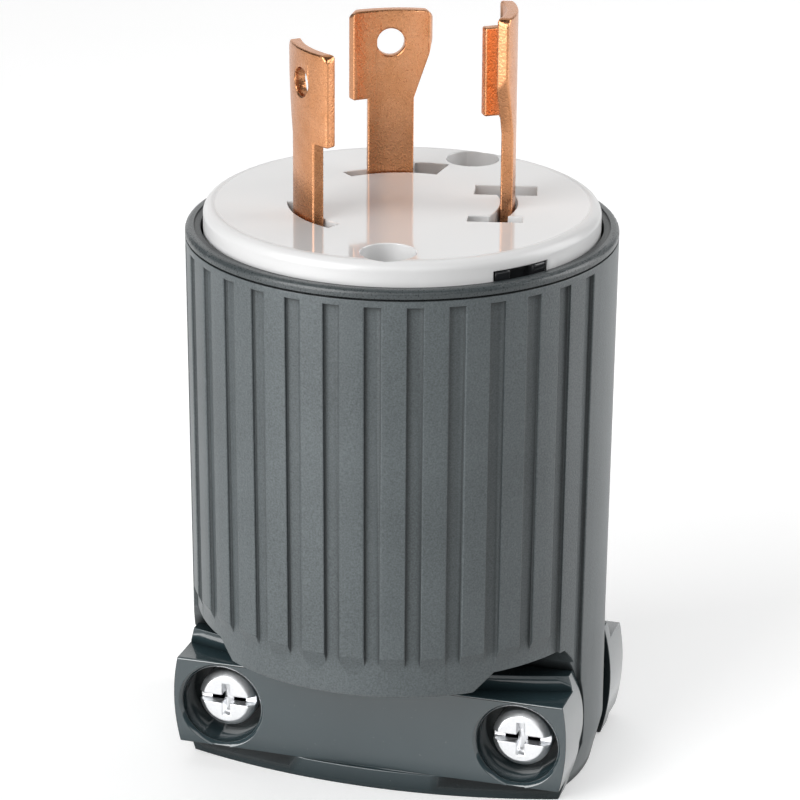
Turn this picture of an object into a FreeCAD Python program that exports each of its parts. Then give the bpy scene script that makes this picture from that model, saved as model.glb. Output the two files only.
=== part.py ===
import FreeCAD, Part
import Sketcher
import os
import re

# Locking plug with three curved blades, a ribbed housing and a two-bar cord clamp.
# Millimetres, +Z up. The plug stands on the foot of its housing with its blades up.
# The front of the plug, where the clamp screws go in, faces -Y.

DOC = FreeCAD.newDocument("LockingPlug")
SHEET = DOC.addObject("Spreadsheet::Sheet", "Sizes")

# Driving dimensions, in millimetres or degrees
DIMENSIONS = {
    # Housing, outside
    "body_radius": 27.6,
    "draft_slope": 0.0088,
    "groove_height": 71.4,
    "groove_width": 0.25,
    "groove_depth": 0.3,
    "rim_height": 1.2,
    "rim_round": 0.65,
    "rim_wall": 1.95,
    "rim_ledge": 0.85,
    "rim_ledge_drop": 0.2,
    "flute_width": 1.95,
    "flute_depth": 0.55,
    "flute_pitch": 10.85,
    "flute_turn": -1.6,
    "flutes_per_side": 6,
    "flute_margin": 1.05,
    "rib_end_height": 22.5,
    "rib_end_ramp": 1.4,
    "edge_flute_end": 13.0,
    "apron_height": 18.4,
    "apron_rise": 2.3,
    "apron_half_width": 16.0,
    "apron_slant": 2.2,
    "apron_wall": 3.0,
    # Housing, inside
    "chamber_wall": 3.3,
    "floor_thickness": 3.0,
    "seat_depth": 7.2,
    "neck_wall": 4.5,
    "neck_gap": 0.75,
    "cord_bore_radius": 10.5,
    "boss_radius": 3.8,
    "boss_top_gap": 3.4,
    # Wings of the housing beside the cord
    "wing_inner": 14.5,
    "wing_front": 10.8,
    "wing_rear": 9.4,
    "wing_sweep": 40.0,
    "wing_bevel": 5.7,
    "wing_foot_radius": 25.8,
    # Face
    "face_gap": 0.35,
    "face_rise": 2.8,
    "face_thickness": 3.5,
    "face_round": 1.3,
    "skirt_wall": 2.2,
    "flange_height": 2.0,
    "flange_clearance": 0.1,
    "slot_clearance": 0.3,
    "slot_margin": 4.0,
    # Assembly screws, in wells in the face
    "screw_inset": 4.3,
    "front_screw_angle": -78.0,
    "rear_screw_angle": 80.5,
    "well_radius": 3.45,
    "well_wall": 0.8,
    "well_floor": 1.2,
    "spigot_radius": 2.6,
    "assembly_screw_radius": 1.7,
    "assembly_head_radius": 2.9,
    "assembly_head_height": 2.2,
    "insert_radius": 2.9,
    "insert_length": 8.0,
    "screw_tip_room": 4.0,
    "fit_clearance": 0.05,
    "hole_clearance": 0.2,
    # Blades
    "blade_radius": 14.3,
    "blade_thickness": 1.5,
    "stem_half_width": 3.0,
    "head_span": 45.0,
    "line_length": 21.6,
    "ground_length": 25.2,
    "shoulder_height": 9.9,
    "slant_height": 7.8,
    "tip_bevel": 0.9,
    "blade_hole_radius": 1.8,
    "blade_hole_drop": 4.3,
    "back_blade_angle": 113.7,
    "left_blade_angle": -136.3,
    "ground_blade_angle": 13.3,
    "tab_length": 3.5,
    "tab_height": 11.5,
    "tab_drop": 3.2,
    "near_bar_inner": 8.6,
    "near_bar_outer": 15.4,
    "near_bar_width": 2.4,
    "near_bar_offset": 5.5,
    "far_bar_inner": 9.0,
    "far_bar_outer": 16.9,
    "far_bar_width": 4.0,
    "far_bar_offset": 3.6,
    "relief_turn": -20.0,
    "relief_span": 15.0,
    "relief_depth": 2.6,
    # Legs of the blades and what clamps the wires
    "leg_half_width": 3.9,
    "terminal_drop": 7.0,
    "terminal_screw_radius": 1.95,
    "terminal_head_radius": 3.4,
    "terminal_head_height": 2.2,
    "terminal_screw_reach": 3.2,
    "plate_width": 8.6,
    "plate_height": 9.0,
    "plate_thickness": 1.5,
    "screw_slot_width": 0.9,
    "screw_slot_depth": 0.9,
    # Insulating block and latch key
    "block_thickness": 7.7,
    "block_clearance": 0.2,
    "hub_radius": 5.5,
    "barrier_thickness": 2.0,
    "barrier_reach": 19.5,
    "barrier_height": 15.0,
    "retainer_radius": 15.4,
    "retainer_thickness": 2.5,
    "retainer_screw_reach": 9.0,
    "key_angle": -38.0,
    "key_span": 17.5,
    "key_side_angle": 0.5,
    "key_rise": 0.8,
    "key_depth": 5.4,
    "key_thickness": 1.2,
    "key_clearance": 0.1,
    "tooth_span": 5.0,
    "tooth_height": 1.9,
    # Cord clamp
    "clamp_front": 14.54,
    "clamp_back": 9.0,
    "clamp_end_radius": 26.6,
    "clamp_end_height": 9.3,
    "face_bottom": 2.7,
    "face_height": 12.0,
    "clamp_step": 2.15,
    "chin_forward": 15.2,
    "step_forward": 13.6,
    "clamp_bow": 80.0,
    "knuckle_radius": 15.5,
    "knuckle_height": 9.1,
    "knuckle_setback": 20.9,
    "knuckle_clearance": 0.2,
    "jaw_radius": 12.0,
    "jaw_offset": 1.0,
    "jaw_groove_depth": 0.8,
    "jaw_groove_width": 1.8,
    "jaw_grooves": 3,
    "clamp_screw_spacing": 40.1,
    "clamp_screw_height": 8.5,
    "clamp_screw_radius": 2.0,
    "clamp_head_radius": 3.9,
    "clamp_head_height": 3.1,
    "crown_height": 0.8,
    "head_recess": 2.0,
    "counterbore_radius": 5.4,
    "counterbore_lip": 0.45,
    "driver_slot_width": 1.1,
    "driver_slot_depth": 1.4,
    "cross_length": 4.4,
    "cross_width": 1.0,
    "cross_depth": 2.0,
    "rear_gap": 0.3,
    "rear_shift": 2.3,
    "rear_drop": 1.2,
    "nut_width": 7.0,
    "nut_thickness": 3.0,
    "nut_pocket_depth": 3.6,
}

# Places and sizes that follow from the driving dimensions
DERIVED = {
    # How far a cutter runs past the face it cuts, and a length that cuts right through
    "overshoot": "1",
    "through": "4 * body_radius",
    "outside": "1.2 * body_radius",
    "rim_top": "groove_height + rim_height",
    "rim_bore": "body_radius - rim_wall",
    "chamber_radius": "body_radius - chamber_wall",
    "apron_radius": "body_radius - draft_slope * (groove_height - apron_height)",
    "floor_bottom": "apron_height + apron_rise",
    "floor_top": "floor_bottom + floor_thickness",
    "neck_radius": "cord_bore_radius + neck_wall",
    "neck_bottom": "step_top + neck_gap",
    "seat_height": "rim_top - seat_depth",
    "boss_top": "seat_height - boss_top_gap",
    "wing_radius": "body_radius - draft_slope * (groove_height - floor_bottom)",
    "flute_top": "groove_height - flute_margin",
    "flute_span": "2 * asin(flute_width / (2 * body_radius)) / 1 deg",
    "rib_end_top": "rib_end_height + rib_end_ramp",
    "rib_end_radius": "body_radius - draft_slope * (groove_height - rib_end_top)",
    "apron_foot": "apron_height - overshoot",
    "top_floor": "body_radius - draft_slope * flute_margin - flute_depth",
    "rib_end_floor": "body_radius - draft_slope * (groove_height - rib_end_height) - flute_depth",
    "apron_foot_floor": "body_radius - draft_slope * (groove_height - apron_foot) - flute_depth",
    "edge_flute_floor": "body_radius - draft_slope * (groove_height - edge_flute_end) - flute_depth",
    "scoop_radius": "knuckle_radius + knuckle_clearance",
    "face_radius": "rim_bore - face_gap",
    "flange_radius": "rim_bore - flange_clearance",
    "skirt_bore": "face_radius - skirt_wall",
    "face_top": "rim_top + face_rise",
    "disc_bottom": "face_top - face_thickness",
    "flange_top": "seat_height + flange_height",
    "well_bottom": "seat_height + well_floor",
    "well_outer": "well_radius + well_wall",
    "screw_circle": "face_radius - screw_inset",
    "front_screw_x": "screw_circle * cos(front_screw_angle)",
    "front_screw_y": "screw_circle * sin(front_screw_angle)",
    "rear_screw_x": "screw_circle * cos(rear_screw_angle)",
    "rear_screw_y": "screw_circle * sin(rear_screw_angle)",
    "blade_inner": "blade_radius - blade_thickness",
    "slot_inner": "blade_inner - slot_clearance",
    "slot_outer": "blade_radius + slot_clearance",
    "slot_span": "head_span + slot_margin",
    "ground_slot_span": "2 * asin((far_bar_offset + far_bar_width) / slot_outer) / 1 deg",
    "head_half_chord": "blade_radius * sin(head_span / 2)",
    "shoulder_z": "face_top + shoulder_height",
    "slant_top_z": "shoulder_z + slant_height",
    "line_tip": "face_top + line_length",
    "ground_tip": "face_top + ground_length",
    "foot_bottom": "block_bottom - barrier_height",
    "retainer_bottom": "foot_bottom - retainer_thickness",
    "barrier_angle_1": "(left_blade_angle + ground_blade_angle) / 2",
    "barrier_angle_2": "(back_blade_angle + ground_blade_angle) / 2",
    "barrier_angle_3": "(back_blade_angle + left_blade_angle + 360) / 2",
    "past_blade_edge": "head_half_chord + overshoot",
    "terminal_z": "block_bottom - terminal_drop",
    "plate_inner": "blade_radius + fit_clearance",
    "plate_outer": "plate_inner + plate_thickness",
    "block_top": "disc_bottom",
    "block_bottom": "disc_bottom - block_thickness",
    "block_radius": "skirt_bore - block_clearance",
    "key_top": "rim_top + key_rise",
    "key_bottom": "key_top - key_depth",
    "key_notch_span": "key_span + 2 * key_side_angle",
    "step_bottom": "face_bottom + face_height",
    "step_top": "step_bottom + clamp_step",
    "head_seat": "clamp_front - head_recess - clamp_head_height",
    "clamp_screw_x": "clamp_screw_spacing / 2",
    "clamp_hole_radius": "clamp_screw_radius + hole_clearance",
    "rear_near": "wing_rear + rear_gap",
    "rear_far": "clamp_front + rear_shift",
    "nut_seat": "rear_far - nut_pocket_depth",
}

for row, (alias, value) in enumerate(DIMENSIONS.items(), start=1):
    SHEET.set("A%d" % row, alias)
    SHEET.set("B%d" % row, str(value))
    SHEET.setAlias("B%d" % row, alias)
DOC.recompute()


def sized(text):
    """Turn the names in a formula into references to the sheet's cells."""
    def replace(match):
        word = match.group()
        if word in DERIVED:
            return "(" + sized(DERIVED[word]) + ")"
        if word in DIMENSIONS:
            return "Sizes." + word
        return word
    return re.sub(r"[a-z][a-z_0-9]*", replace, str(text))


def bind(feature, **formulas):
    """Bind properties of a feature to formulas; a double underscore stands for a dot."""
    for name, formula in formulas.items():
        feature.setExpression(name.replace("__", "."), sized(formula))
    return feature


Z_AXIS = FreeCAD.Vector(0, 0, 1)
UPRIGHT = FreeCAD.Rotation()
ALONG_X = FreeCAD.Rotation(FreeCAD.Vector(0, 1, 0), 90)
ALONG_Y = FreeCAD.Rotation(FreeCAD.Vector(1, 0, 0), -90)


# Part primitives and booleans

def placed(feature, x, y, z, rotation):
    feature.Placement = FreeCAD.Placement(FreeCAD.Vector(0, 0, 0), rotation)
    return bind(feature, Placement__Base__x=x, Placement__Base__y=y, Placement__Base__z=z)


def box(name, x_low, x_high, y_low, y_high, z_low, z_high):
    solid = DOC.addObject("Part::Box", name)
    bind(solid, Length="(%s) - (%s)" % (x_high, x_low), Width="(%s) - (%s)" % (y_high, y_low),
         Height="(%s) - (%s)" % (z_high, z_low))
    return placed(solid, x_low, y_low, z_low, UPRIGHT)


def turned_box(name, angle, x_low, x_high, y_low, y_high, z_low, z_high):
    """A box set out along the X axis and then turned about the plug's axis."""
    solid = box(name, x_low, x_high, y_low, y_high, z_low, z_high)
    solid.Placement = FreeCAD.Placement(FreeCAD.Vector(0, 0, 0), FreeCAD.Rotation(Z_AXIS, 1))
    return bind(solid, Placement__Rotation__Angle=angle, Placement__Base__z=z_low,
                Placement__Base__x="(%s) * cos(%s) - (%s) * sin(%s)" % (x_low, angle, y_low, angle),
                Placement__Base__y="(%s) * sin(%s) + (%s) * cos(%s)" % (x_low, angle, y_low, angle))


def rod(name, radius, length, x, y, z, rotation=UPRIGHT):
    solid = DOC.addObject("Part::Cylinder", name)
    bind(solid, Radius=radius, Height=length)
    return placed(solid, x, y, z, rotation)


def join(name, *solids):
    result = DOC.addObject("Part::MultiFuse", name)
    result.Shapes = list(solids)
    result.Refine = True
    return result


def cut(name, base, *tools):
    result = DOC.addObject("Part::Cut", name)
    result.Base = base
    result.Tool = tools[0] if len(tools) == 1 else join(name + "_tools", *tools)
    return result


def overlap(name, base, tool):
    result = DOC.addObject("Part::Common", name)
    result.Base = base
    result.Tool = tool
    return result


def group(name, *solids):
    result = DOC.addObject("Part::Compound", name)
    result.Links = list(solids)
    return result


def mirror_x(name, source):
    result = DOC.addObject("Part::Mirroring", name)
    result.Source = source
    result.Normal = FreeCAD.Vector(1, 0, 0)
    return result


def turned(feature, angle):
    """Turn a feature about the plug's axis."""
    feature.Placement = FreeCAD.Placement(FreeCAD.Vector(0, 0, 0), FreeCAD.Rotation(Z_AXIS, 1))
    return bind(feature, Placement__Rotation__Angle=angle)


def sector(name, inner, outer, z_low, z_high, span, angle):
    """A ring sector, its middle at an angle about the plug's axis."""
    wedge = DOC.addObject("Part::Cylinder", name + "_wedge")
    bind(wedge, Radius=outer, Height="(%s) - (%s)" % (z_high, z_low), Angle=span)
    wedge.Placement = FreeCAD.Placement(FreeCAD.Vector(0, 0, 0), FreeCAD.Rotation(Z_AXIS, 1))
    bind(wedge, Placement__Base__z=z_low, Placement__Rotation__Angle="(%s) - (%s) / 2" % (angle, span))
    core = rod(name + "_core", inner, "(%s) - (%s) + 2 * overshoot" % (z_high, z_low),
               0, 0, "(%s) - overshoot" % z_low)
    return cut(name, wedge, core)


# Sketches and the features made from them

def sketch_on(body, name, role):
    sketch = body.newObject("Sketcher::SketchObject", name)
    plane = [feature for feature in body.Origin.OriginFeatures if feature.Role == role][0]
    sketch.AttachmentSupport = [(plane, "")]
    sketch.MapMode = "FlatFace"
    return sketch


def add_point(sketch, geometry, position, x, y):
    for kind, formula in (("DistanceX", x), ("DistanceY", y)):
        index = sketch.addConstraint(Sketcher.Constraint(kind, -1, 1, geometry, position, 1.0))
        sketch.setExpression("Constraints[%d]" % index, sized(formula))


def add_polygon(sketch, corners):
    """Add a closed outline whose corners are pairs of formulas.

    The lines start on a regular polygon, and their constraints then carry them to the corners.
    """
    first = sketch.GeometryCount
    count = len(corners)
    for number in range(count):
        start = FreeCAD.Rotation(Z_AXIS, 360 * number / count).multVec(FreeCAD.Vector(1, 0, 0))
        end = FreeCAD.Rotation(Z_AXIS, 360 * (number + 1) / count).multVec(FreeCAD.Vector(1, 0, 0))
        sketch.addGeometry(Part.LineSegment(start, end), False)
    for number, (x, y) in enumerate(corners):
        following = first + (number + 1) % count
        sketch.addConstraint(Sketcher.Constraint("Coincident", first + number, 2, following, 1))
        add_point(sketch, first + number, 1, x, y)


def add_rectangle(sketch, x_low, x_high, y_low, y_high):
    add_polygon(sketch, [(x_low, y_low), (x_high, y_low), (x_high, y_high), (x_low, y_high)])


def add_circle(sketch, radius, x, y):
    index = sketch.addGeometry(Part.Circle(FreeCAD.Vector(1, 1, 0), Z_AXIS, 1.0), False)
    add_point(sketch, index, 3, x, y)
    constraint = sketch.addConstraint(Sketcher.Constraint("Radius", index, 1.0))
    sketch.setExpression("Constraints[%d]" % constraint, sized(radius))


def raise_sketch(sketch, height):
    sketch.setExpression("AttachmentOffset.Base.z", sized(height))


def turn_about_axis(sketch, angle):
    """Turn an upright sketch about the plug's axis."""
    sketch.AttachmentOffset = FreeCAD.Placement(FreeCAD.Vector(0, 0, 0),
                                                FreeCAD.Rotation(FreeCAD.Vector(0, 1, 0), 1))
    sketch.setExpression("AttachmentOffset.Rotation.Angle", sized(angle))


def revolve(body, kind, sketch, angle=360):
    feature = body.newObject("PartDesign::" + kind, sketch.Name + "_" + kind.lower())
    feature.Profile = sketch
    feature.ReferenceAxis = (sketch, ["V_Axis"])
    feature.Midplane = angle != 360
    bind(feature, Angle=angle)
    return feature


def extrude(body, kind, sketch, length, middle=False):
    feature = body.newObject("PartDesign::" + kind, sketch.Name + "_" + kind.lower())
    feature.Profile = sketch
    if middle:
        feature.SideType = "Symmetric"
    bind(feature, Length=length)
    return feature


# How far apart two sizes may lie and still count as the same
SAME_SIZE = 0.01


def round_top_edge(body, name, turning, radius):
    """Round the outermost of the edges at the top of a turned solid."""
    DOC.recompute()
    boxes = [edge.BoundBox for edge in turning.Shape.Edges]
    top = max(limits.ZMax for limits in boxes)
    reach = max(limits.XMax for limits in boxes if limits.ZMin > top - SAME_SIZE)
    corners = ["Edge%d" % (number + 1) for number, limits in enumerate(boxes)
               if limits.ZMin > top - SAME_SIZE and limits.XMax > reach - SAME_SIZE]
    rounding = body.newObject("PartDesign::Fillet", name)
    rounding.Base = (turning, corners)
    return bind(rounding, Radius=radius)


# Housing: a ribbed cup with plain sides, a neck for the cord and two wings beside it

def build_housing():
    body = DOC.addObject("PartDesign::Body", "housing_shell")

    cup = sketch_on(body, "cup", "XZ_Plane")
    add_polygon(cup, [
        ("rim_bore", "rim_top - rim_ledge_drop"),
        ("rim_bore + rim_ledge", "rim_top - rim_ledge_drop"),
        ("rim_bore + rim_ledge", "rim_top"),
        ("body_radius", "rim_top"),
        ("body_radius", "groove_height + groove_width / 2"),
        ("body_radius - groove_depth", "groove_height + groove_width / 2"),
        ("body_radius - groove_depth", "groove_height - groove_width / 2"),
        ("body_radius", "groove_height - groove_width / 2"),
        ("apron_radius", "apron_height"),
        ("apron_radius - apron_wall", "apron_height"),
        ("apron_radius - apron_wall", "floor_bottom"),
        ("neck_radius", "floor_bottom"),
        ("neck_radius", "neck_bottom"),
        ("cord_bore_radius", "neck_bottom"),
        ("cord_bore_radius", "floor_top"),
        ("chamber_radius", "floor_top"),
        ("chamber_radius", "seat_height"),
        ("rim_bore", "seat_height"),
    ])
    round_top_edge(body, "rim_rounding", revolve(body, "Revolution", cup), "rim_round")

    # The aprons hang lower at the front and back than at the sides
    steps = sketch_on(body, "apron_steps", "XZ_Plane")
    for side in ("", "-"):
        add_polygon(steps, [
            (side + "(apron_half_width + apron_slant)", "floor_bottom"),
            (side + "apron_half_width", "apron_height"),
            (side + "apron_half_width", "apron_height - overshoot"),
            (side + "outside", "apron_height - overshoot"),
            (side + "outside", "floor_bottom"),
        ])
    extrude(body, "Pocket", steps, "through", middle=True)

    wings = sketch_on(body, "wings", "XY_Plane")
    add_rectangle(wings, "wing_inner", "body_radius", "-wing_front", "wing_rear")
    add_rectangle(wings, "-body_radius", "-wing_inner", "-wing_front", "wing_rear")
    extrude(body, "Pad", wings, "floor_bottom")

    # The wings are round outside, like the drum, and bevelled towards their feet
    trim = sketch_on(body, "wing_trim", "XZ_Plane")
    for side in ("", "-"):
        add_polygon(trim, [
            (side + "wing_foot_radius", "-overshoot"),
            (side + "wing_foot_radius", "0"),
            (side + "wing_radius", "wing_bevel"),
            (side + "wing_radius", "floor_bottom"),
            (side + "outside", "floor_bottom"),
            (side + "outside", "-overshoot"),
        ])
    revolve(body, "Groove", trim, "2 * wing_sweep")

    # The clamp screws' holes
    holes = sketch_on(body, "wing_holes", "XZ_Plane")
    add_circle(holes, "clamp_hole_radius", "clamp_screw_x", "clamp_screw_height")
    add_circle(holes, "clamp_hole_radius", "-clamp_screw_x", "clamp_screw_height")
    extrude(body, "Pocket", holes, "through", middle=True)

    # Bosses for the threaded inserts
    bosses = sketch_on(body, "bosses", "XY_Plane")
    bores = sketch_on(body, "insert_bores", "XY_Plane")
    tips = sketch_on(body, "screw_tips", "XY_Plane")
    for place in ("front", "rear"):
        spot = (place + "_screw_x", place + "_screw_y")
        add_circle(bosses, "boss_radius", *spot)
        add_circle(bores, "insert_radius + fit_clearance", *spot)
        add_circle(tips, "assembly_screw_radius + hole_clearance", *spot)
    raise_sketch(bosses, "floor_top - overshoot")
    extrude(body, "Pad", bosses, "boss_top - floor_top + overshoot")
    raise_sketch(bores, "boss_top")
    extrude(body, "Pocket", bores, "insert_length")
    raise_sketch(tips, "boss_top")
    extrude(body, "Pocket", tips, "insert_length + screw_tip_room")

    # Flutes, cut at the front and back together and repeated both ways round
    flute = sketch_on(body, "flute", "YZ_Plane")
    for side in ("", "-"):
        add_polygon(flute, [
            (side + "outside", "flute_top"),
            (side + "top_floor", "flute_top"),
            (side + "apron_foot_floor", "apron_foot"),
            (side + "outside", "apron_foot"),
        ])
    turn_about_axis(flute, "flute_turn")
    flute_groove = revolve(body, "Groove", flute, "flute_span")
    axis = [feature for feature in body.Origin.OriginFeatures if feature.Role == "Z_Axis"][0]
    DOC.recompute()
    for name, reverse in (("flutes_left", False), ("flutes_right", True)):
        pattern = body.newObject("PartDesign::PolarPattern", name)
        pattern.Originals = [flute_groove]
        pattern.Axis = (axis, [""])
        pattern.Reversed = reverse
        bind(pattern, Angle="flute_pitch * flutes_per_side", Occurrences="flutes_per_side + 1")
        body.Tip = pattern

    # Below the flutes the drum keeps to their floors, so each rib has a sloping lower end
    aprons = sketch_on(body, "rib_ends", "YZ_Plane")
    for side in ("", "-"):
        add_polygon(aprons, [
            (side + "outside", "apron_foot"),
            (side + "apron_foot_floor", "apron_foot"),
            (side + "rib_end_floor", "rib_end_height"),
            (side + "rib_end_radius", "rib_end_top"),
            (side + "outside", "rib_end_top"),
        ])
    turn_about_axis(aprons, "flute_turn")
    body.Tip = revolve(body, "Groove", aprons, "2 * flute_pitch * flutes_per_side - flute_span / 2")

    # One more flute at each side of the front runs down the wing
    for name, side in (("left", "-"), ("right", "")):
        edge = sketch_on(body, "edge_flute_" + name, "YZ_Plane")
        add_polygon(edge, [
            ("-outside", "flute_top"),
            ("-top_floor", "flute_top"),
            ("-edge_flute_floor", "edge_flute_end"),
            ("-outside", "edge_flute_end"),
        ])
        turn_about_axis(edge, "flute_turn + %s(flute_pitch * (flutes_per_side + 1))" % side)
        body.Tip = revolve(body, "Groove", edge, "flute_span")

    # Round scoops in the wings that take the knuckles of the front clamp
    scoops = []
    for name, low, high in (("left", "-outside", "overshoot - wing_inner"),
                            ("right", "wing_inner - overshoot", "outside")):
        scoops.append(overlap("scoop_" + name,
                              box("scoop_%s_blank" % name, low, high, "-wing_front - overshoot", "0",
                                  "-overshoot", "floor_bottom"),
                              rod("scoop_%s_round" % name, "scoop_radius", "2 * outside", "-outside",
                                  "-knuckle_setback", "knuckle_height", ALONG_X)))
    return cut("housing", body, *scoops)


# Face: a disc with a skirt, two screw wells, three blade slots and a notch for the latch key

def slot_cutters(name, inner, outer, z_low, z_high, line_span, ground_span):
    spans = {"back": line_span, "left": line_span, "ground": ground_span}
    return [sector("%s_%s_slot" % (name, place), inner, outer, z_low, z_high, span, place + "_blade_angle")
            for place, span in spans.items()]


def build_face_plate():
    body = DOC.addObject("PartDesign::Body", "face_disc")
    disc = sketch_on(body, "disc", "XZ_Plane")
    add_polygon(disc, [
        ("0", "face_top"),
        ("face_radius", "face_top"),
        ("face_radius", "flange_top"),
        ("flange_radius", "flange_top"),
        ("flange_radius", "seat_height"),
        ("skirt_bore", "seat_height"),
        ("skirt_bore", "disc_bottom"),
        ("0", "disc_bottom"),
    ])
    round_top_edge(body, "face_rounding", revolve(body, "Revolution", disc), "face_round")

    tubes = sketch_on(body, "well_tubes", "XY_Plane")
    spigots = sketch_on(body, "spigots", "XY_Plane")
    wells = sketch_on(body, "wells", "XY_Plane")
    holes = sketch_on(body, "screw_holes", "XY_Plane")
    for place in ("front", "rear"):
        spot = (place + "_screw_x", place + "_screw_y")
        add_circle(tubes, "well_outer", *spot)
        add_circle(spigots, "spigot_radius", *spot)
        add_circle(wells, "well_radius", *spot)
        add_circle(holes, "assembly_screw_radius + hole_clearance", *spot)
    raise_sketch(tubes, "seat_height")
    extrude(body, "Pad", tubes, "face_top - face_round - seat_height")
    raise_sketch(spigots, "boss_top")
    extrude(body, "Pad", spigots, "well_bottom - boss_top")
    raise_sketch(wells, "face_top + overshoot")
    extrude(body, "Pocket", wells, "face_top + overshoot - well_bottom")
    raise_sketch(holes, "well_bottom + overshoot")
    extrude(body, "Pocket", holes, "well_bottom - boss_top + 2 * overshoot")

    openings = slot_cutters("face", "slot_inner", "slot_outer", "disc_bottom - overshoot",
                            "face_top + overshoot", "slot_span", "ground_slot_span")
    # Cross bars at both ends of the ground slot
    for name, low, high in (("near_bar", "-near_bar_offset - near_bar_width", "-near_bar_offset"),
                            ("far_bar", "far_bar_offset", "far_bar_offset + far_bar_width")):
        openings.append(turned_box("ground_" + name, "ground_blade_angle", name + "_inner", name + "_outer",
                                   low, high, "disc_bottom - overshoot", "face_top + overshoot"))
    # One end of the back slot is wider
    openings.append(sector("back_relief", "slot_inner", "slot_outer + relief_depth", "disc_bottom - overshoot",
                           "face_top + overshoot", "relief_span", "back_blade_angle + relief_turn"))
    openings.append(sector("key_notch", "skirt_bore", "outside", "key_bottom - key_clearance",
                           "key_top + key_clearance", "key_notch_span", "key_angle"))
    return cut("face_plate", body, *openings)


# Blades: curved strips with a locking head, a narrow stem and a wide foot for the terminal

def build_blade(name, tip, angle, hole):
    body = DOC.addObject("PartDesign::Body", name)
    strip = sketch_on(body, name + "_strip", "XZ_Plane")
    add_rectangle(strip, "blade_inner", "blade_radius", "foot_bottom", tip)
    revolve(body, "Revolution", strip, "head_span")

    edges = sketch_on(body, name + "_edges", "YZ_Plane")
    # Locking side: a square shoulder over the stem
    add_polygon(edges, [
        ("stem_half_width", "shoulder_z"),
        ("stem_half_width", "block_top"),
        ("leg_half_width", "block_top"),
        ("leg_half_width", "block_bottom"),
        ("past_blade_edge", "block_bottom"),
        ("past_blade_edge", "shoulder_z"),
    ])
    # Leading side: the head tapers into the stem
    add_polygon(edges, [
        ("-stem_half_width", "shoulder_z"),
        ("-stem_half_width", "block_top"),
        ("-leg_half_width", "block_top"),
        ("-leg_half_width", "block_bottom"),
        ("-past_blade_edge", "block_bottom"),
        ("-past_blade_edge", "slant_top_z + overshoot"),
        ("-head_half_chord", "slant_top_z"),
    ])
    # Bevelled corners at the tip
    for side in ("", "-"):
        add_polygon(edges, [
            (side + "(head_half_chord - tip_bevel)", tip),
            (side + "past_blade_edge", "%s - tip_bevel - overshoot" % tip),
            (side + "past_blade_edge", tip),
        ])
    if hole:
        add_circle(edges, "blade_hole_radius", "0", "%s - blade_hole_drop" % tip)
    add_circle(edges, "terminal_screw_radius + fit_clearance", "0", "terminal_z")
    extrude(body, "Pocket", edges, "through", middle=True)
    return turned(body, angle)


def build_ground_blade():
    """The ground blade is longer and carries a tab bent inwards at its locking edge."""
    strip = build_blade("ground_strip", "ground_tip", "ground_blade_angle", False)
    outer = "(blade_radius - blade_thickness / 4)"
    low = "ground_tip - tab_drop - tab_height"
    tab = turned_box("ground_tab", "(ground_blade_angle + head_span / 2)", outer + " - tab_length", outer,
                     "-blade_thickness", "0", low, low + " + tab_height")
    return join("ground_blade", strip, tab)


# Terminals: a screw through a pressure plate into the foot of each blade

def build_plate(name, angle):
    plate = box(name + "_blank", "plate_inner", "plate_outer", "-plate_width / 2", "plate_width / 2",
                "terminal_z - plate_height / 2", "terminal_z + plate_height / 2")
    hole = rod(name + "_hole", "terminal_screw_radius + hole_clearance", "plate_thickness + 2 * overshoot",
               "plate_inner - overshoot", 0, "terminal_z", ALONG_X)
    return turned(cut(name, plate, hole), angle)


def build_terminal_screw(name, angle):
    shank = rod(name + "_shank", "terminal_screw_radius", "plate_outer - blade_inner + terminal_screw_reach",
                "blade_inner - terminal_screw_reach", 0, "terminal_z", ALONG_X)
    head = rod(name + "_head", "terminal_head_radius", "terminal_head_height",
               "plate_outer", 0, "terminal_z", ALONG_X)
    top = "plate_outer + terminal_head_height"
    slot = box(name + "_slot", top + " - screw_slot_depth", top + " + overshoot",
               "-terminal_head_radius", "terminal_head_radius",
               "terminal_z - screw_slot_width / 2", "terminal_z + screw_slot_width / 2")
    return turned(cut(name, join(name + "_blank", shank, head), slot), angle)


# Insulating block behind the face, with barriers between the terminals

def build_terminal_block():
    disc = rod("block_disc", "block_radius", "block_thickness", 0, 0, "block_bottom")
    hub = rod("block_hub", "hub_radius", "barrier_height + overshoot", 0, 0, "foot_bottom")
    walls = [turned_box("barrier_%d" % number, "barrier_angle_%d" % number, "0", "barrier_reach",
                        "-barrier_thickness / 2", "barrier_thickness / 2",
                        "foot_bottom", "block_bottom + overshoot")
             for number in (1, 2, 3)]
    leg_span = "(2 * asin((leg_half_width + slot_clearance) / blade_inner) / 1 deg)"
    openings = slot_cutters("block", "blade_inner - fit_clearance", "blade_radius + fit_clearance",
                            "block_bottom - overshoot", "block_top + overshoot", leg_span, leg_span)
    for place in ("front", "rear"):
        openings.append(rod("block_%s_relief" % place, "well_outer + block_clearance",
                            "block_thickness + 2 * overshoot", place + "_screw_x", place + "_screw_y",
                            "block_bottom - overshoot"))
    openings.append(rod("block_pilot", "assembly_screw_radius + fit_clearance",
                        "retainer_screw_reach + screw_tip_room", 0, 0, "foot_bottom - overshoot"))
    return cut("terminal_block", join("block_blank", disc, hub, *walls), *openings)


# Retainer under the feet of the blades, with the screw that holds it to the block

def build_retainer():
    disc = rod("retainer_disc", "retainer_radius", "retainer_thickness", 0, 0, "retainer_bottom")
    hole = rod("retainer_hole", "assembly_screw_radius + hole_clearance",
               "retainer_thickness + 2 * overshoot", 0, 0, "retainer_bottom - overshoot")
    return cut("blade_retainer", disc, hole)


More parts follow.
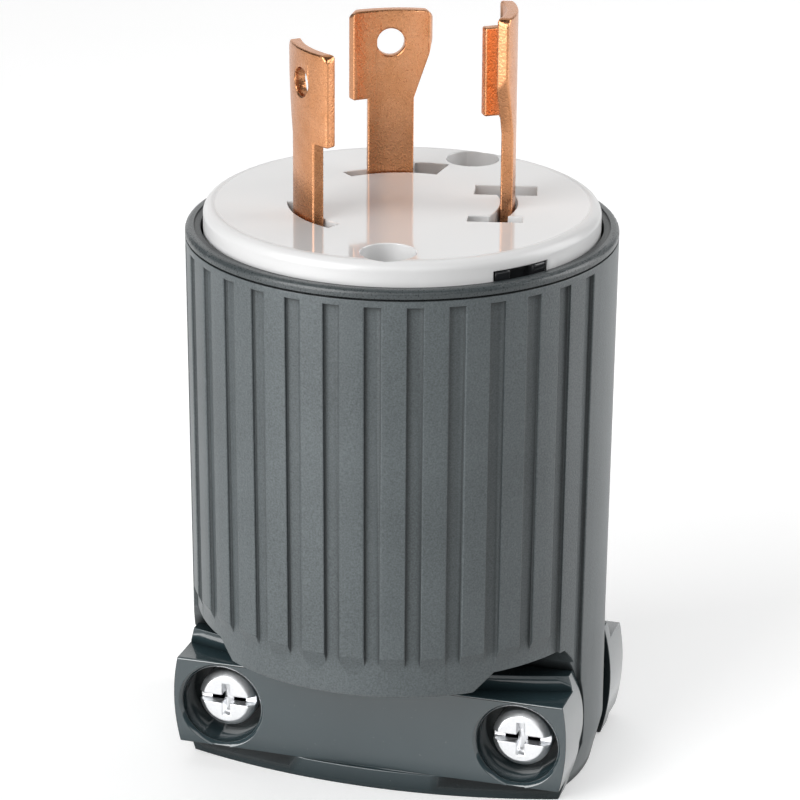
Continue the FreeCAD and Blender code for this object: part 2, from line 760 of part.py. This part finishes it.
def build_retainer_screw():
    shank = rod("retainer_shank", "assembly_screw_radius", "retainer_thickness + retainer_screw_reach",
                0, 0, "retainer_bottom")
    low = "retainer_bottom - assembly_head_height"
    head = rod("retainer_head", "assembly_head_radius", "assembly_head_height", 0, 0, low)
    slot = box("retainer_slot", "-assembly_head_radius", "assembly_head_radius",
               "-screw_slot_width / 2", "screw_slot_width / 2",
               low + " - overshoot", low + " + screw_slot_depth")
    return cut("retainer_screw", join("retainer_screw_blank", shank, head), slot)


# Latch key, which shows as two teeth in the notch of the skirt

def build_latch_key():
    inner = "skirt_bore + key_clearance"
    back = sector("key_back", inner, "skirt_bore + key_clearance + key_thickness", "key_bottom", "key_top",
                  "key_span", "key_angle")
    parts = [back]
    for name, side in (("left", "-"), ("right", "+")):
        parts.append(sector("tooth_" + name, "skirt_bore + key_thickness / 2",
                            "face_radius - key_clearance", "key_top - tooth_height", "key_top",
                            "tooth_span", "key_angle %s (key_span - tooth_span) / 2" % side))
    return join("latch_key", *parts)


# Screws and inserts that hold the face to the housing

def build_assembly_screw(place):
    spot = (place + "_screw_x", place + "_screw_y")
    shank = rod(place + "_shank", "assembly_screw_radius", "well_bottom - boss_top + insert_length",
                *spot, "boss_top - insert_length")
    head = rod(place + "_head", "assembly_head_radius", "assembly_head_height", *spot, "well_bottom")
    top = "well_bottom + assembly_head_height"
    slot = box(place + "_driver_slot",
               spot[0] + " - assembly_head_radius", spot[0] + " + assembly_head_radius",
               spot[1] + " - screw_slot_width / 2", spot[1] + " + screw_slot_width / 2",
               top + " - screw_slot_depth", top + " + overshoot")
    return cut(place + "_screw", join(place + "_screw_blank", shank, head), slot)


def build_insert(place):
    spot = (place + "_screw_x", place + "_screw_y")
    sleeve = rod(place + "_sleeve", "insert_radius", "insert_length", *spot, "boss_top - insert_length")
    bore = rod(place + "_sleeve_bore", "assembly_screw_radius + fit_clearance",
               "insert_length + 2 * overshoot", *spot, "boss_top - insert_length - overshoot")
    return cut(place + "_insert", sleeve, bore)


# Cord clamp: a front bar with knuckles that seat in the wings, and a rear bar with nuts

def jaw_cutters(name, top):
    """The round jaw for the cord and the grooves that make its ridges."""
    cutters = [rod(name + "_jaw", "jaw_radius", top + " + 2 * overshoot", 0, "jaw_offset", "-overshoot")]
    for number in range(1, DIMENSIONS["jaw_grooves"] + 1):
        height = "(%s) * %d / (jaw_grooves + 1) - jaw_groove_width / 2" % (top, number)
        cutters.append(rod("%s_jaw_groove_%d" % (name, number), "jaw_radius + jaw_groove_depth",
                           "jaw_groove_width", 0, "jaw_offset", height))
    return cutters


def clamp_blank(name, back, low):
    """The plate, chin and step of a bar that faces -Y; chin and step are bowed."""
    wide = ("-clamp_end_radius", "clamp_end_radius")
    reach = "-chin_forward - overshoot"
    plate = box(name + "_face", *wide, "-clamp_front", back, "face_bottom", "step_bottom")
    chin = overlap(name + "_chin", box(name + "_chin_blank", *wide, reach, back, low, "face_bottom"),
                   rod(name + "_chin_bow", "clamp_bow", "step_top", 0, "clamp_bow - chin_forward", 0))
    step = overlap(name + "_step",
                   box(name + "_step_blank", *wide, reach, back, "step_bottom", "step_top"),
                   rod(name + "_step_bow", "clamp_bow", "step_top", 0, "clamp_bow - step_forward", 0))
    ends = rod(name + "_ends", "clamp_end_radius", "chin_forward + 2 * overshoot", 0, reach,
               "clamp_end_height", ALONG_Y)
    return [plate, chin, step], ends


def build_clamp_front():
    solids, ends = clamp_blank("front", "-clamp_back", "0")
    solids.append(overlap("knuckle",
                          box("knuckle_blank", "-clamp_end_radius", "clamp_end_radius", "-clamp_back", 0,
                              0, "step_top"),
                          rod("knuckle_round", "knuckle_radius", "2 * clamp_end_radius",
                              "-clamp_end_radius", "-knuckle_setback", "knuckle_height", ALONG_X)))
    bar = overlap("front_bar", join("front_blank", *solids), ends)
    tools = jaw_cutters("front", "step_top")
    for name, side in (("left", "-"), ("right", "")):
        spot = side + "clamp_screw_x"
        tools.append(rod(name + "_counterbore", "counterbore_radius", "clamp_front - head_seat + overshoot",
                         spot, "-clamp_front - overshoot", "clamp_screw_height", ALONG_Y))
        lip = DOC.addObject("Part::Cone", name + "_lip")
        bind(lip, Radius1="counterbore_radius + 2 * counterbore_lip", Radius2="counterbore_radius",
             Height="2 * counterbore_lip")
        tools.append(placed(lip, spot, "-clamp_front - counterbore_lip", "clamp_screw_height", ALONG_Y))
        tools.append(rod(name + "_front_hole", "clamp_hole_radius", "2 * clamp_front", spot,
                         "-clamp_front", "clamp_screw_height", ALONG_Y))
    return cut("clamp_front", bar, *tools)


def build_clamp_rear():
    solids, ends = clamp_blank("rear", "rear_shift - rear_near", "rear_drop")
    bar = turned(overlap("rear_bar", join("rear_blank", *solids), ends), 180)
    bind(bar, Placement__Base__y="rear_shift", Placement__Base__z="-rear_drop")
    tools = jaw_cutters("rear", "step_top")
    for name, side in (("left", "-"), ("right", "")):
        spot = side + "clamp_screw_x"
        half = "(nut_width / 2 + fit_clearance)"
        tools.append(box(name + "_nut_pocket", "%s - %s" % (spot, half), "%s + %s" % (spot, half),
                         "nut_seat", "rear_far + overshoot", "clamp_screw_height - %s" % half,
                         "clamp_screw_height + %s" % half))
        tools.append(rod(name + "_rear_hole", "clamp_hole_radius", "rear_far", spot,
                         "rear_near - overshoot", "clamp_screw_height", ALONG_Y))
    return cut("clamp_rear", bar, *tools)


def build_clamp_screw():
    spot = ("clamp_screw_x", "clamp_screw_height")
    top = "-head_seat - clamp_head_height"
    shank = rod("clamp_shank", "clamp_screw_radius", "head_seat + nut_seat + nut_thickness",
                spot[0], "-head_seat", spot[1], ALONG_Y)
    drum = rod("clamp_head_drum", "clamp_head_radius", "clamp_head_height - crown_height",
               spot[0], top + " + crown_height", spot[1], ALONG_Y)
    crown = DOC.addObject("Part::Cone", "clamp_head_crown")
    bind(crown, Radius1="clamp_head_radius - crown_height", Radius2="clamp_head_radius",
         Height="crown_height")
    placed(crown, spot[0], top, spot[1], ALONG_Y)
    slot = box("clamp_driver_slot", spot[0] + " - clamp_head_radius", spot[0] + " + clamp_head_radius",
               top + " - overshoot", top + " + driver_slot_depth", spot[1] + " - driver_slot_width / 2",
               spot[1] + " + driver_slot_width / 2")
    arms = []
    for name, long_x, long_z in (("flat", "cross_length", "cross_width"),
                                 ("tall", "cross_width", "cross_length")):
        arms.append(box("cross_" + name,
                        "%s - %s / 2" % (spot[0], long_x), "%s + %s / 2" % (spot[0], long_x),
                        top + " - overshoot", top + " + cross_depth", "%s - %s / 2" % (spot[1], long_z),
                        "%s + %s / 2" % (spot[1], long_z)))
    return cut("clamp_screw_right", join("clamp_screw_blank", shank, drum, crown), slot, *arms)


def build_clamp_nut():
    half = "nut_width / 2"
    blank = box("nut_blank", "clamp_screw_x - " + half, "clamp_screw_x + " + half, "nut_seat",
                "nut_seat + nut_thickness", "clamp_screw_height - " + half, "clamp_screw_height + " + half)
    bore = rod("nut_bore", "clamp_screw_radius + fit_clearance", "nut_thickness + 2 * overshoot",
               "clamp_screw_x", "nut_seat - overshoot", "clamp_screw_height", ALONG_Y)
    return cut("clamp_nut_right", blank, bore)


clamp_screw = build_clamp_screw()
clamp_nut = build_clamp_nut()
SUBPARTS = [
    build_housing(),
    build_face_plate(),
    build_terminal_block(),
    build_retainer(),
    build_retainer_screw(),
    build_latch_key(),
    build_blade("blade_back", "line_tip", "back_blade_angle", True),
    build_blade("blade_left", "line_tip", "left_blade_angle", True),
    build_ground_blade(),
    build_plate("plate_back", "back_blade_angle"),
    build_plate("plate_left", "left_blade_angle"),
    build_plate("plate_ground", "ground_blade_angle"),
    group("line_terminal_screws", build_terminal_screw("terminal_screw_back", "back_blade_angle"),
          build_terminal_screw("terminal_screw_left", "left_blade_angle")),
    build_terminal_screw("ground_terminal_screw", "ground_blade_angle"),
    group("assembly_screws", build_assembly_screw("front"), build_assembly_screw("rear")),
    group("threaded_inserts", build_insert("front"), build_insert("rear")),
    build_clamp_front(),
    build_clamp_rear(),
    group("clamp_screws", clamp_screw, mirror_x("clamp_screw_left", clamp_screw)),
    group("clamp_nuts", clamp_nut, mirror_x("clamp_nut_left", clamp_nut)),
]
DOC.recompute()

failed = [feature.Label for feature in DOC.Objects if "Invalid" in feature.State or "Error" in feature.State]
if failed:
    raise RuntimeError("These did not recompute: " + ", ".join(failed))
for subpart in SUBPARTS:
    if subpart.Shape.isNull() or not subpart.Shape.isValid():
        raise RuntimeError("%s has no valid shape" % subpart.Label)

os.makedirs("parts", exist_ok=True)
for subpart in SUBPARTS:
    subpart.Shape.exportStep("parts/%s.step" % subpart.Label)
    print(subpart.Label, len(subpart.Shape.Solids), round(subpart.Shape.Volume, 1))
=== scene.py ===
import math

import bmesh
import bpy
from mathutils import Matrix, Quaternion, Vector


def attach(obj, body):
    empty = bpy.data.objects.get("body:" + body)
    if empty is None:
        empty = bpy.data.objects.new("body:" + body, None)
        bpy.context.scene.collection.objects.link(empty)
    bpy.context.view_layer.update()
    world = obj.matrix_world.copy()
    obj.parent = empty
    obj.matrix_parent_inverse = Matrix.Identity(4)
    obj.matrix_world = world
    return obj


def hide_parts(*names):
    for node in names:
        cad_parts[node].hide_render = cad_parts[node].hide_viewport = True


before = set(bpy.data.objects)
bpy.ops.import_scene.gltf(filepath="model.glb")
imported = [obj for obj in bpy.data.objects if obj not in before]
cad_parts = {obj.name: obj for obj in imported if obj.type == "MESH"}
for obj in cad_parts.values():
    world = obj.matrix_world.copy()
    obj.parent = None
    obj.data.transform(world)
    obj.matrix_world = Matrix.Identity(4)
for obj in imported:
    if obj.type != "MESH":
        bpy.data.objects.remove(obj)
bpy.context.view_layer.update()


# Camera
# The photograph looks down on the plug by about 20 degrees, from a little to the right of its front.
# The lens is long, so the housing's sides stay almost parallel.
LENS = 164.7
NEAR_LIMIT = 0.01
AIM = Vector((-0.000125, -0.000037, 0.04842))
DISTANCE = 0.4738
AZIMUTH = math.radians(16.57)
ELEVATION = math.radians(20.4)
ROLL = math.radians(0.39)

camera = bpy.data.objects.new("camera", bpy.data.cameras.new("camera"))
bpy.context.scene.collection.objects.link(camera)
bpy.context.scene.camera = camera
camera.data.lens = LENS
camera.data.clip_start = NEAR_LIMIT
away = Vector((math.sin(AZIMUTH) * math.cos(ELEVATION), -math.cos(AZIMUTH) * math.cos(ELEVATION),
               math.sin(ELEVATION)))
camera.location = AIM + DISTANCE * away
camera.rotation_mode = "QUATERNION"
camera.rotation_quaternion = (-away).to_track_quat("-Z", "Y") @ Quaternion((0, 0, 1), ROLL)


# Housing
# A drum moulded in grey thermoplastic, open at the top, with ribs round its front and back, plain
# sides and two wings at the foot. The mould leaves a fine satin grain and small radii. Painted shade
# darkens the corners of the flutes and the top of the rim.
class Field:
    """A socket in a material, with Python's operators for Math nodes and node() for any other node."""

    def __init__(self, tree, socket=None):
        self.tree = tree
        self.socket = socket

    def node(self, kind, settings, inputs, output=0):
        made = self.tree.nodes.new(kind)
        for name, value in settings.items():
            setattr(made, name, value)
        for name, value in inputs.items():
            if isinstance(value, Field):
                self.tree.links.new(value.socket, made.inputs[name])
            else:
                made.inputs[name].default_value = value
        return Field(self.tree, made.outputs[output])

    def maths(self, operation, *values):
        return self.node("ShaderNodeMath", {"operation": operation}, dict(enumerate(values)))

    def __add__(self, other):
        return self.maths("ADD", self, other)

    def __sub__(self, other):
        return self.maths("SUBTRACT", self, other)

    def __rsub__(self, other):
        return self.maths("SUBTRACT", other, self)

    def __mul__(self, other):
        return self.maths("MULTIPLY", self, other)

    def __pow__(self, other):
        return self.maths("POWER", self, other)

    def __gt__(self, other):
        return self.maths("GREATER_THAN", self, other)

    __radd__ = __add__
    __rmul__ = __mul__


def new_finish(name, constants):
    """A Principled material with its constant values set on the shader's own sockets."""
    material = bpy.data.materials.new(name)
    material.use_nodes = True
    shader = material.node_tree.nodes["Principled BSDF"]
    for socket, value in constants.items():
        shader.inputs[socket].default_value = value
    return material, shader, Field(material.node_tree)


def feed(shader, **fields):
    """Link fields to the shader's sockets; an underscore in a name stands for a space."""
    for name, field in fields.items():
        field.tree.links.new(field.socket, shader.inputs[name.replace("_", " ")])


def place_on(tree):
    """The point on the object, in metres."""
    return tree.node("ShaderNodeTexCoord", {}, {}, "Object")


def height_of(tree):
    """The point's height on the object, in metres."""
    return tree.node("ShaderNodeSeparateXYZ", {}, {"Vector": place_on(tree)}, "Z")


def grain(tree, size):
    """Noise from 0 to 1 whose lumps are about as wide as size, in metres."""
    return tree.node("ShaderNodeTexNoise", {}, {"Vector": place_on(tree), "Scale": 1 / size})


def painted_corner_shade(tree, reach):
    """Painted shade for corners: from 0 in the depth of a corner to 1 in the open, felt from as far as
    reach, in metres.
    """
    return tree.node("ShaderNodeAmbientOcclusion", {"samples": 8}, {"Distance": reach}, "AO")


def bump(tree, height, depth):
    """A normal raised by a height field from 0 to 1, its full depth in metres."""
    return tree.node("ShaderNodeBump", {}, {"Height": height, "Distance": depth, "Strength": 1.0})


MIX_SHARE, MIX_FIRST, MIX_SECOND, MIX_COLOUR = 0, 6, 7, 2


def blend_colours(tree, share, first, second):
    """The first colour where share is 0 and the second where it is 1."""
    return tree.node("ShaderNodeMix", {"data_type": "RGBA"},
                     {MIX_SHARE: share, MIX_FIRST: (*first, 1), MIX_SECOND: (*second, 1)}, MIX_COLOUR)


SAME_POINT = 1e-7
FLAT_ANGLE = math.radians(0.5)
CREASE_ANGLE = math.radians(50)
LONG_EDGE = 0.012


def dress(node, material, radius, long_radius=None, sharp_angle=28, bare_above=1.0):
    """A copy of a piece with its triangles merged and its edges rounded, in the node's place.

    Straight edges over LONG_EDGE are rounded by long_radius, and the other sharp ones by radius.
    Edges above the height bare_above keep their shape, and creases there stay crisp."""
    widest = max(radius, long_radius or radius)
    shape = bmesh.new()
    shape.from_mesh(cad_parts[node].data)
    bmesh.ops.remove_doubles(shape, verts=shape.verts, dist=SAME_POINT)
    bmesh.ops.dissolve_limit(shape, angle_limit=FLAT_ANGLE, verts=shape.verts, edges=shape.edges)
    rounded = shape.edges.layers.float.new("bevel_weight_edge")
    for edge in shape.edges:
        if edge.is_manifold and edge.is_convex and edge.calc_face_angle() > math.radians(sharp_angle):
            own = long_radius if long_radius and edge.calc_length() > LONG_EDGE else radius
            if min(corner.co.z for corner in edge.verts) > bare_above:
                edge.smooth = edge.calc_face_angle() < CREASE_ANGLE
            else:
                edge[rounded] = own / widest
    mesh = bpy.data.meshes.new(node + "_dressed")
    shape.to_mesh(mesh)
    shape.free()
    mesh.shade_smooth()
    piece = bpy.data.objects.new(node + "_dressed", mesh)
    bpy.context.scene.collection.objects.link(piece)
    mesh.materials.append(material)
    rounding = piece.modifiers.new("rounding", "BEVEL")
    rounding.width = widest
    rounding.segments = 2
    rounding.limit_method = "WEIGHT"
    rounding.use_clamp_overlap = False
    weighting = piece.modifiers.new("weighting", "WEIGHTED_NORMAL")
    weighting.mode = "FACE_AREA"
    weighting.keep_sharp = True
    weighting.weight = 100
    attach(piece, "root")
    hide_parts(node)


RIM_FOOT = 0.0714
HOUSING_GRAIN_AND_PAINTED_SHADE = (0.006, 0.009, 0.01)
HOUSING_GREY = (0.166, 0.193, 0.202)
SATIN_DEPTH = 0.00004
housing_plastic, shader, tree = new_finish("housing_plastic", {"IOR": 1.5})
cloud = grain(tree, size=0.012)
speck = grain(tree, size=0.00022)
# Painted shade: the grey is painted darker in the corners of the flutes and in other hollows.
unshaded_share = painted_corner_shade(tree, reach=0.0014) ** 3
# Painted shade: above RIM_FOOT the rim's grey is painted at half its brightness, for the shade on its
# top.
at_rim = height_of(tree) > RIM_FOOT
grain_and_painted_shade = (cloud * 0.25 + speck * 0.75) * unshaded_share * (1 - at_rim * 0.5)
feed(shader,
     Base_Color=blend_colours(tree, grain_and_painted_shade, HOUSING_GRAIN_AND_PAINTED_SHADE, HOUSING_GREY),
     Roughness=0.5 - unshaded_share * 0.2 + speck * 0.2 - at_rim * 0.1,
     Normal=bump(tree, speck, SATIN_DEPTH))
dress("housing", housing_plastic, radius=0.0001,
      long_radius=0.00026, sharp_angle=15, bare_above=RIM_FOOT)


# Face
# A light, high-gloss thermoset disc with a deep skirt, pressed into the housing's rim. Blade slots,
# two screw wells and a notch are moulded through it. The rounded edge is duller than the top.
ROUNDED_FROM = 0.0238
FACE_GREY = (0.64, 0.64, 0.64)
FACE_WHITE = (0.68, 0.68, 0.68)
ACROSS_ONLY = (1, 1, 0)
face_plastic, shader, tree = new_finish("face_plastic", {"IOR": 1.55, "Coat Roughness": 0.03})
cloud = grain(tree, size=0.02)
flat_point = tree.node("ShaderNodeMapping", {}, {"Vector": place_on(tree), "Scale": ACROSS_ONLY})
from_axis = tree.node("ShaderNodeVectorMath", {"operation": "LENGTH"}, {0: flat_point}, "Value")
at_edge = from_axis > ROUNDED_FROM
feed(shader,
     Base_Color=blend_colours(tree, cloud, FACE_GREY, FACE_WHITE),
     Roughness=0.1 + at_edge * 0.25,
     Coat_Weight=0.7 - at_edge * 0.55)
dress("face_plate", face_plastic, radius=0.00015)


# Latch key
# A small latch moulded in glossy black plastic. It is held behind the skirt of the face, and only
# its two teeth show, in the skirt's notch.
KEY_SHADE = (0.012, 0.013, 0.014)
KEY_BLACK = (0.02, 0.021, 0.023)
key_plastic, shader, tree = new_finish("key_plastic", {"IOR": 1.5})
feed(shader,
     Base_Color=blend_colours(tree, grain(tree, size=0.002), KEY_SHADE, KEY_BLACK),
     Roughness=0.08 + grain(tree, size=0.001) * 0.08)
dress("latch_key", key_plastic, radius=0.0002)


# Insulating block and its retainer
# Two matt black mouldings inside the housing. The block keeps the blades and their wires apart, and
# the disc under it holds the feet of the blades with one screw.
BLOCK_SHADE = (0.018, 0.018, 0.02)
BLOCK_BLACK = (0.03, 0.03, 0.033)
MATT_DEPTH = 0.00002
block_plastic, shader, tree = new_finish("block_plastic", {"IOR": 1.5})
speck = grain(tree, size=0.0005)
feed(shader,
     Base_Color=blend_colours(tree, speck, BLOCK_SHADE, BLOCK_BLACK),
     Roughness=0.5 + speck * 0.2,
     Normal=bump(tree, speck, MATT_DEPTH))
for node in ("terminal_block", "blade_retainer"):
    dress(node, block_plastic, radius=0.0002)


# Blades
# Stamped from copper alloy strip and rolled to the circle of the slots. Tumbling has rounded their
# edges and left a fine, slightly uneven grain. Their feet are held between block and retainer.
BLADE_BROWN = (0.48, 0.195, 0.07)
BLADE_PINK = (0.68, 0.345, 0.19)
TUMBLED_DEPTH = 0.00008
blade_copper, shader, tree = new_finish("blade_copper", {"Metallic": 1.0})
cloud = grain(tree, size=0.003)
speck = grain(tree, size=0.0003)
feed(shader,
     Base_Color=blend_colours(tree, cloud * 0.7 + speck * 0.3, BLADE_BROWN, BLADE_PINK),
     Roughness=0.2 + speck * 0.16,
     Normal=bump(tree, speck * 0.5 + grain(tree, size=0.0015) * 0.5, TUMBLED_DEPTH))
for node in ("blade_back", "blade_left", "ground_blade"):
    dress(node, blade_copper, radius=0.00025)


# Terminals
# Pressure plates, screws and threaded inserts of brass, and the green plated screw that marks the
# ground terminal. The screws draw the plates onto the stripped wires.
BRASS_BROWN = (0.66, 0.47, 0.2)
BRASS_YELLOW = (0.8, 0.6, 0.3)
terminal_brass, shader, tree = new_finish("terminal_brass", {"Metallic": 1.0})
speck = grain(tree, size=0.0003)
feed(shader,
     Base_Color=blend_colours(tree, speck, BRASS_BROWN, BRASS_YELLOW),
     Roughness=0.25 + speck * 0.2)
for node in ("plate_back", "plate_left", "plate_ground", "line_terminal_screws", "threaded_inserts"):
    dress(node, terminal_brass, radius=0.00012)

GROUND_SHADE = (0.03, 0.2, 0.07)
GROUND_GREEN = (0.05, 0.28, 0.1)
ground_green, shader, tree = new_finish("ground_green", {"Metallic": 0.6})
speck = grain(tree, size=0.0003)
feed(shader,
     Base_Color=blend_colours(tree, speck, GROUND_SHADE, GROUND_GREEN),
     Roughness=0.3 + speck * 0.2)
dress("ground_terminal_screw", ground_green, radius=0.00012)


# Screws and nuts
# Steel, cold headed and bright zinc plated. The clamp screws have a slot and a cross recess, and
# run into square nuts in the rear bar of the clamp.
ZINC_GREY = (0.74, 0.75, 0.77)
ZINC_BRIGHT = (0.88, 0.89, 0.9)
PLATING_DEPTH = 0.000012
zinc, shader, tree = new_finish("zinc", {"Metallic": 1.0})
speck = grain(tree, size=0.0003)
feed(shader,
     Base_Color=blend_colours(tree, speck, ZINC_GREY, ZINC_BRIGHT),
     Roughness=0.32 + speck * 0.12,
     Normal=bump(tree, speck, PLATING_DEPTH))
for node in ("clamp_screws", "clamp_nuts", "assembly_screws", "retainer_screw"):
    dress(node, zinc, radius=0.00015)


# Cord clamp
# Two bars moulded in a darker and glossier grey plastic, drawn together round the cord by two
# screws. The front bar has counterbores for their heads. Its corners carry painted shade, almost
# black.
CLAMP_TONE_AND_PAINTED_SHADE = (0.0, 0.0, 0.0)
CLAMP_GREY = (0.028, 0.05, 0.058)
POLISH_DEPTH = 0.00001
clamp_plastic, shader, tree = new_finish("clamp_plastic", {"IOR": 1.35, "Coat IOR": 1.75,
                                                           "Coat Roughness": 0.07})
cloud = grain(tree, size=0.012)
speck = grain(tree, size=0.0004)
# Painted shade: the colour goes towards black in corners and counterbores, and the coat fades out
# there, taking its reflection away.
unshaded_share = painted_corner_shade(tree, reach=0.005)
feed(shader,
     Base_Color=blend_colours(tree, (0.7 + cloud * 0.3) * unshaded_share, CLAMP_TONE_AND_PAINTED_SHADE, CLAMP_GREY),
     Roughness=0.2 + speck * 0.1,
     Coat_Weight=unshaded_share ** 4,
     Normal=bump(tree, speck, POLISH_DEPTH))
for node in ("clamp_front", "clamp_rear"):
    dress(node, clamp_plastic, radius=0.00012, long_radius=0.0003)


# Floor and light
# A pale floor that glows a little, so that it stays white. A broad soft light stands at each side
# of the plug, a weak one over it, a card by the camera and a wide panel behind.
FLOOR_SIZE = 3.0
floor_mesh = bpy.data.meshes.new("floor")
shape = bmesh.new()
bmesh.ops.create_grid(shape, x_segments=1, y_segments=1, size=FLOOR_SIZE)
shape.to_mesh(floor_mesh)
shape.free()
floor = bpy.data.objects.new("floor", floor_mesh)
bpy.context.scene.collection.objects.link(floor)
floor_paint = new_finish("floor_paint", {"Base Color": (0.9, 0.9, 0.9, 1), "Roughness": 0.9,
                                         "Emission Color": (1, 1, 1, 1), "Emission Strength": 0.26})[0]
floor_mesh.materials.append(floor_paint)
floor.visible_diffuse = False


def soft_light(name, azimuth, elevation, distance, width, height, power):
    """An area light that faces the plug, placed by its angles round the camera's line of sight."""
    turn = AZIMUTH + math.radians(azimuth)
    rise = math.radians(elevation)
    out = Vector((math.sin(turn) * math.cos(rise), -math.cos(turn) * math.cos(rise), math.sin(rise)))
    lamp = bpy.data.lights.new(name, "AREA")
    lamp.shape = "RECTANGLE"
    lamp.size = width
    lamp.size_y = height
    lamp.energy = power
    holder = bpy.data.objects.new(name, lamp)
    holder.location = AIM + distance * out
    holder.rotation_mode = "QUATERNION"
    holder.rotation_quaternion = (-out).to_track_quat("-Z", "Y")
    bpy.context.scene.collection.objects.link(holder)


soft_light("left_softbox", azimuth=-50, elevation=14, distance=0.75, width=0.6, height=0.9, power=10)
soft_light("right_softbox", azimuth=98, elevation=14, distance=0.7, width=0.5, height=0.8, power=5)
soft_light("top_softbox", azimuth=180, elevation=62, distance=0.9, width=0.9, height=0.7, power=1.6)
soft_light("front_card", azimuth=0, elevation=32, distance=0.9, width=0.8, height=0.5, power=2)
soft_light("back_panel", azimuth=180, elevation=12, distance=1.2, width=1.6, height=0.9, power=4.5)

SURROUND_GLOW = 0.1
surround = bpy.data.worlds.new("surround")
surround.use_nodes = True
surround.node_tree.nodes["Background"].inputs["Color"].default_value = (1, 1, 1, 1)
surround.node_tree.nodes["Background"].inputs["Strength"].default_value = SURROUND_GLOW
bpy.context.scene.world = surround
bpy.context.scene.view_settings.view_transform = "Standard"
